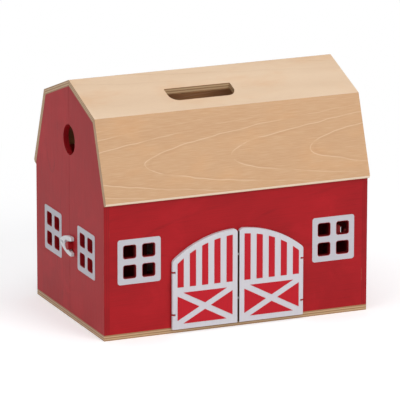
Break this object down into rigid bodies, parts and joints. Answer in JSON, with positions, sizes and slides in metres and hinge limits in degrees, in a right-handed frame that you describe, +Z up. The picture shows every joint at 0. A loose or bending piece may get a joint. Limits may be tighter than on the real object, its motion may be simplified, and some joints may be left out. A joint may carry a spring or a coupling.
{
  "type": "toy barn",
  "caption": "Wooden toy barn with a gambrel roof that opens like a book on side hinges, with an arched double gate, a split stable door, pane windows and a carrying slot",
  "frame": {"origin": "middle of the barn's footprint, on the surface that it stands on", "axes": "+X along the ridge towards the gable with the hinges, the arched gate faces -Y, the split stable door faces +Y, +Z up"},
  "size_m": [0.332, 0.2168, 0.2749],
  "materials": {
    "red_ply": "red stain over birch plywood, satin",
    "bare_ply": "clear satin lacquer on pale plywood",
    "white_board": "white satin paint on plywood",
    "white_print": "thin white paint print",
    "red_print": "thin bright red paint print",
    "white_plastic": "moulded white plastic, semi gloss",
    "white_steel": "white enamel on sheet steel",
    "steel": "zinc-plated steel",
    "nickel": "nickel-plated magnet"
  },
  "bodies": {
    "front_half": {"floor_front": "bare_ply", "loft_front": "bare_ply", "wall_front": "red_ply", "gable_left_front": "red_ply", "gable_right_front": "red_ply", "roof_steep_front": "bare_ply", "roof_top_front": "bare_ply", "window_trim_front_left": "white_print", "window_trim_front_right": "white_print", "gable_trim_left_front": "white_print", "gable_trim_right_front": "white_print", "base_screws_front": "steel", "gate_hinge_lugs": "red_ply", "catch_peg": "red_ply", "barn_hinge_plates_front": "steel", "barn_hinge_pins": "steel", "barn_hinge_screws_front": "steel"},
    "back_half": {"floor_back": "bare_ply", "loft_back": "bare_ply", "wall_back": "red_ply", "gable_left_back": "red_ply", "gable_right_back": "red_ply", "roof_steep_back": "bare_ply", "roof_top_back": "bare_ply", "window_trim_back_left": "white_print", "window_trim_back_right": "white_print", "gable_trim_left_back": "white_print", "gable_trim_right_back": "white_print", "base_screws_back": "steel", "catch_clip": "white_plastic", "catch_screws": "steel", "barn_hinge_plates_back": "steel", "barn_hinge_screws_back": "steel", "door_hinge_brackets": "white_steel", "door_hinge_pins": "steel", "door_hinge_screws": "steel"},
    "gate_left": {"gate_board_left": "white_board", "gate_fields_left": "red_print", "gate_pins_left": "steel", "gate_magnets_left": "nickel"},
    "gate_right": {"gate_board_right": "white_board", "gate_fields_right": "red_print", "gate_pins_right": "steel", "gate_magnets_right": "nickel"},
    "stable_door_upper": {"door_board_upper": "white_board", "door_fields_upper": "red_print", "door_hinge_strap_upper": "white_steel", "door_strap_screws_upper": "steel"},
    "stable_door_lower": {"door_board_lower": "white_board", "door_fields_lower": "red_print", "door_hinge_strap_lower": "white_steel", "door_strap_screws_lower": "steel"}
  },
  "joints": [
    {"name": "barn_opening", "type": "hinge", "parent": "front_half", "child": "back_half", "pos_m": [0.1633, 0, 0.1], "axis": [0, 0, -1], "range_deg": [0, 180]},
    {"name": "gate_left_swing", "type": "hinge", "parent": "front_half", "child": "gate_left", "pos_m": [-0.07795, -0.1044, 0.05], "axis": [0, 0, -1], "range_deg": [0, 170]},
    {"name": "gate_right_swing", "type": "hinge", "parent": "front_half", "child": "gate_right", "pos_m": [0.07795, -0.1044, 0.05], "axis": [0, 0, 1], "range_deg": [0, 170]},
    {"name": "stable_door_upper_swing", "type": "hinge", "parent": "back_half", "child": "stable_door_upper", "pos_m": [0.0416, 0.1052, 0.09], "axis": [0, 0, -1], "range_deg": [0, 170]},
    {"name": "stable_door_lower_swing", "type": "hinge", "parent": "back_half", "child": "stable_door_lower", "pos_m": [0.0416, 0.1052, 0.035], "axis": [0, 0, -1], "range_deg": [0, 170]}
  ]
}
